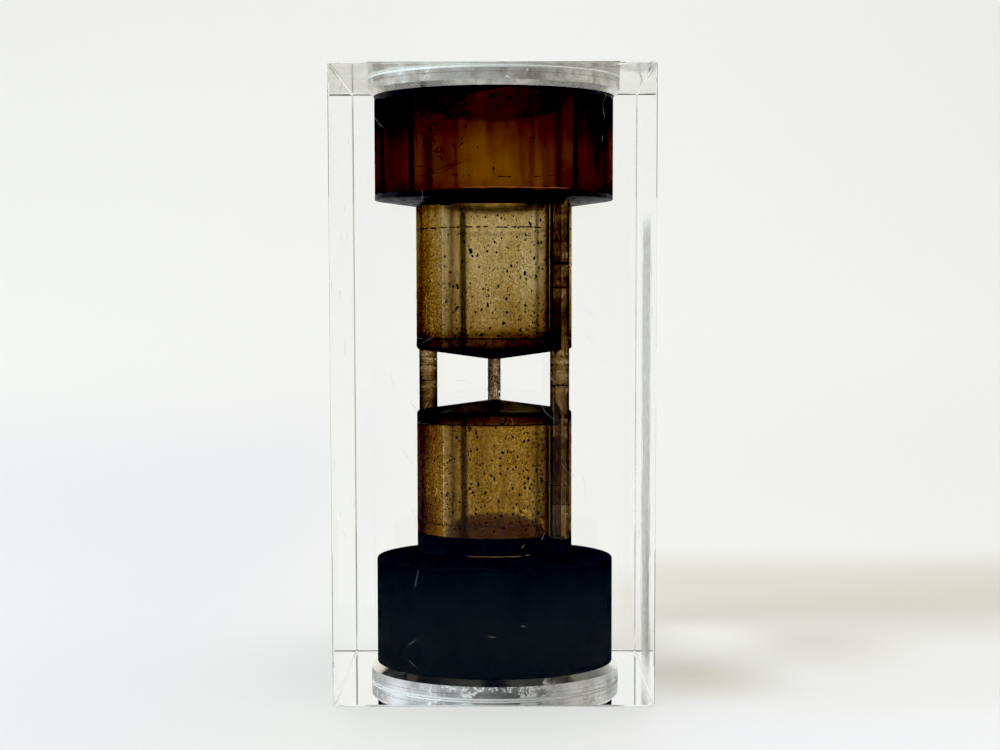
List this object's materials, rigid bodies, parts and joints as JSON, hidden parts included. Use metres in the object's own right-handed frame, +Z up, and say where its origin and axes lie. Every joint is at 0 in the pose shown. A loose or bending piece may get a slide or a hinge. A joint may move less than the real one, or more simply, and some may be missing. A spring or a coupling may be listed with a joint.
{
  "type": "liquid hourglass timer",
  "caption": "Sealed desk timer: a clear acrylic block with bored reservoirs, cone throats and a fine neck, air return channels, metal end discs and dark liquid.",
  "frame": {"origin": "middle of the block's lower end face, on the surface it stands on", "axes": "+Z up the block's long axis through both bores and the neck, X and Y square to the side faces, front is -Y"},
  "size_m": [0.0762, 0.0762, 0.151],
  "materials": {
    "clear_acrylic": "polished clear cast acrylic, brown stain on the machined walls",
    "satin_aluminium": "satin, turned",
    "clear_cement": "clear with white flakes",
    "dark_liquid": "wet, nearly black"
  },
  "bodies": {
    "root": {"acrylic_block": "clear_acrylic", "upper_end_disc": "satin_aluminium", "lower_end_disc": "satin_aluminium", "upper_cement_ring": "clear_cement", "lower_cement_ring": "clear_cement", "dark_liquid": "dark_liquid"}
  },
  "joints": []
}
